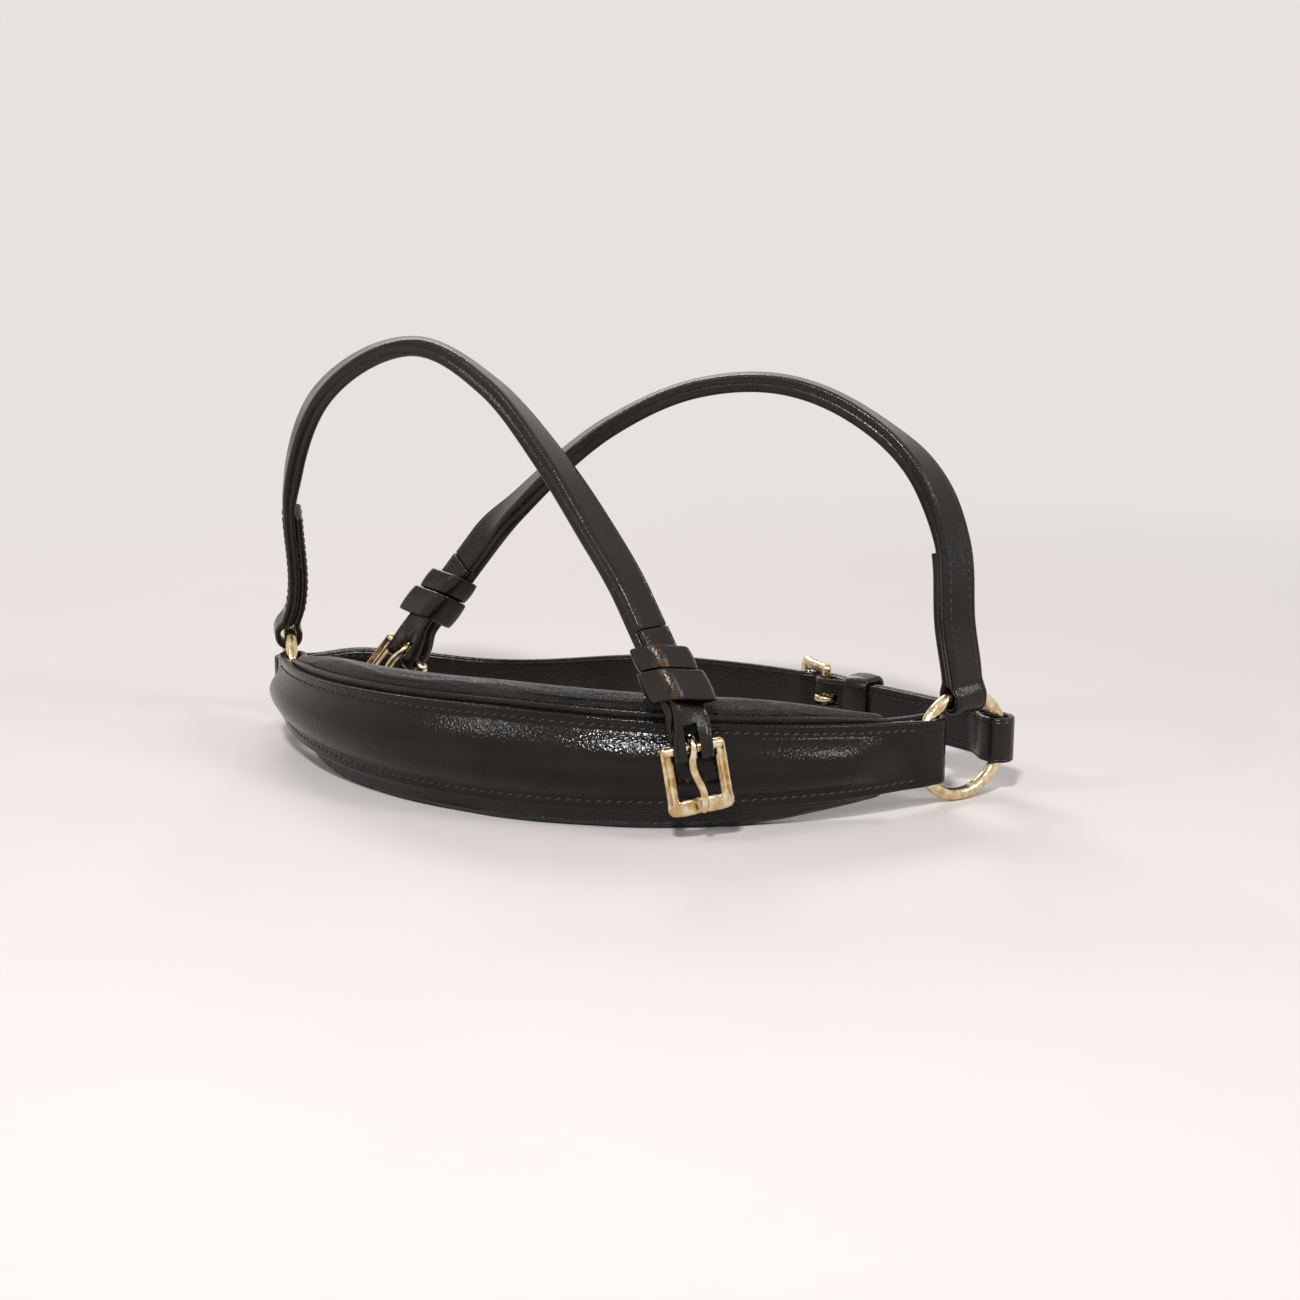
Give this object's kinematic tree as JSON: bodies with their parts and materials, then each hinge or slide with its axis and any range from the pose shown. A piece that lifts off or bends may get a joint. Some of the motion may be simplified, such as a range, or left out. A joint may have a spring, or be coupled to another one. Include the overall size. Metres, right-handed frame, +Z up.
{
  "type": "hanoverian noseband",
  "caption": "Padded leather noseband standing in a closed loop, with brass rings, a buckled chin strap and cheek straps that arch up and end in free buckles.",
  "frame": {"origin": "middle of the bounding box at floor level", "axes": "+X runs along the chord between the rings, +Y points from the nose piece to the chin strap, +Z is up"},
  "size_m": [0.3028, 0.1554, 0.1566],
  "materials": {
    "black_leather": "semi-gloss",
    "soft_black_leather": "satin",
    "padding_foam": "matte",
    "brass": "polished"
  },
  "bodies": {
    "noseband": {"nose_front": "black_leather", "nose_crown_core": "padding_foam", "nose_backing": "black_leather", "nose_lining": "soft_black_leather", "nose_foam": "padding_foam", "chin_buckle_strap": "black_leather", "chin_billet_strap": "black_leather", "chin_buckle": "brass", "chin_tongue": "brass", "chin_keeper": "black_leather"},
    "ring_left": {"ring_left": "brass"},
    "cheek_left": {"cheek_left_strap": "black_leather", "cheek_left_fixed_keeper": "black_leather"},
    "cheek_left_runner": {"cheek_left_runner_keeper": "black_leather"},
    "cheek_left_buckle": {"cheek_left_buckle": "brass"},
    "cheek_left_tongue": {"cheek_left_tongue": "brass"},
    "ring_right": {"ring_right": "brass"},
    "cheek_right": {"cheek_right_strap": "black_leather", "cheek_right_fixed_keeper": "black_leather"},
    "cheek_right_runner": {"cheek_right_runner_keeper": "black_leather"},
    "cheek_right_buckle": {"cheek_right_buckle": "brass"},
    "cheek_right_tongue": {"cheek_right_tongue": "brass"}
  },
  "joints": [
    {"name": "ring_left_turn", "type": "hinge", "parent": "noseband", "child": "ring_left", "pos_m": [-0.13594, 0.01551, 0.02], "axis": [0.809, 0.5878, 0], "continuous": true},
    {"name": "cheek_left_lift", "type": "hinge", "parent": "noseband", "child": "cheek_left", "pos_m": [-0.13594, 0.01551, 0.03775], "axis": [0.5878, -0.809, 0], "range_deg": [0, 60]},
    {"name": "cheek_left_runner_slide", "type": "slide", "parent": "cheek_left", "child": "cheek_left_runner", "axis": [-0.5303, 0.2251, 0.8174], "range_m": [0, 0.012]},
    {"name": "cheek_left_buckle_fold", "type": "hinge", "parent": "cheek_left", "child": "cheek_left_buckle", "pos_m": [0.06851, -0.06667, 0.032], "axis": [-0.844, -0.512, -0.1597], "range_deg": [0, 60]},
    {"name": "cheek_left_tongue_lift", "type": "hinge", "parent": "cheek_left_buckle", "child": "cheek_left_tongue", "pos_m": [0.06851, -0.06667, 0.032], "axis": [-0.844, -0.512, -0.1597], "range_deg": [0, 60]},
    {"name": "ring_right_turn", "type": "hinge", "parent": "noseband", "child": "ring_right", "pos_m": [0.13594, 0.01551, 0.02], "axis": [-0.809, 0.5878, 0], "continuous": true},
    {"name": "cheek_right_lift", "type": "hinge", "parent": "noseband", "child": "cheek_right", "pos_m": [0.13594, 0.01551, 0.03775], "axis": [0.5878, 0.809, 0], "range_deg": [0, 23]},
    {"name": "cheek_right_runner_slide", "type": "slide", "parent": "cheek_right", "child": "cheek_right_runner", "axis": [0.5672, 0.1861, 0.8023], "range_m": [0, 0.012]},
    {"name": "cheek_right_buckle_fold", "type": "hinge", "parent": "cheek_right", "child": "cheek_right_buckle", "pos_m": [-0.069, -0.00885, 0.0395], "axis": [-0.8279, 0.2068, 0.5214], "range_deg": [-40, 60]},
    {"name": "cheek_right_tongue_lift", "type": "hinge", "parent": "cheek_right_buckle", "child": "cheek_right_tongue", "pos_m": [-0.069, -0.00885, 0.0395], "axis": [-0.8279, 0.2068, 0.5214], "range_deg": [0, 60]}
  ]
}
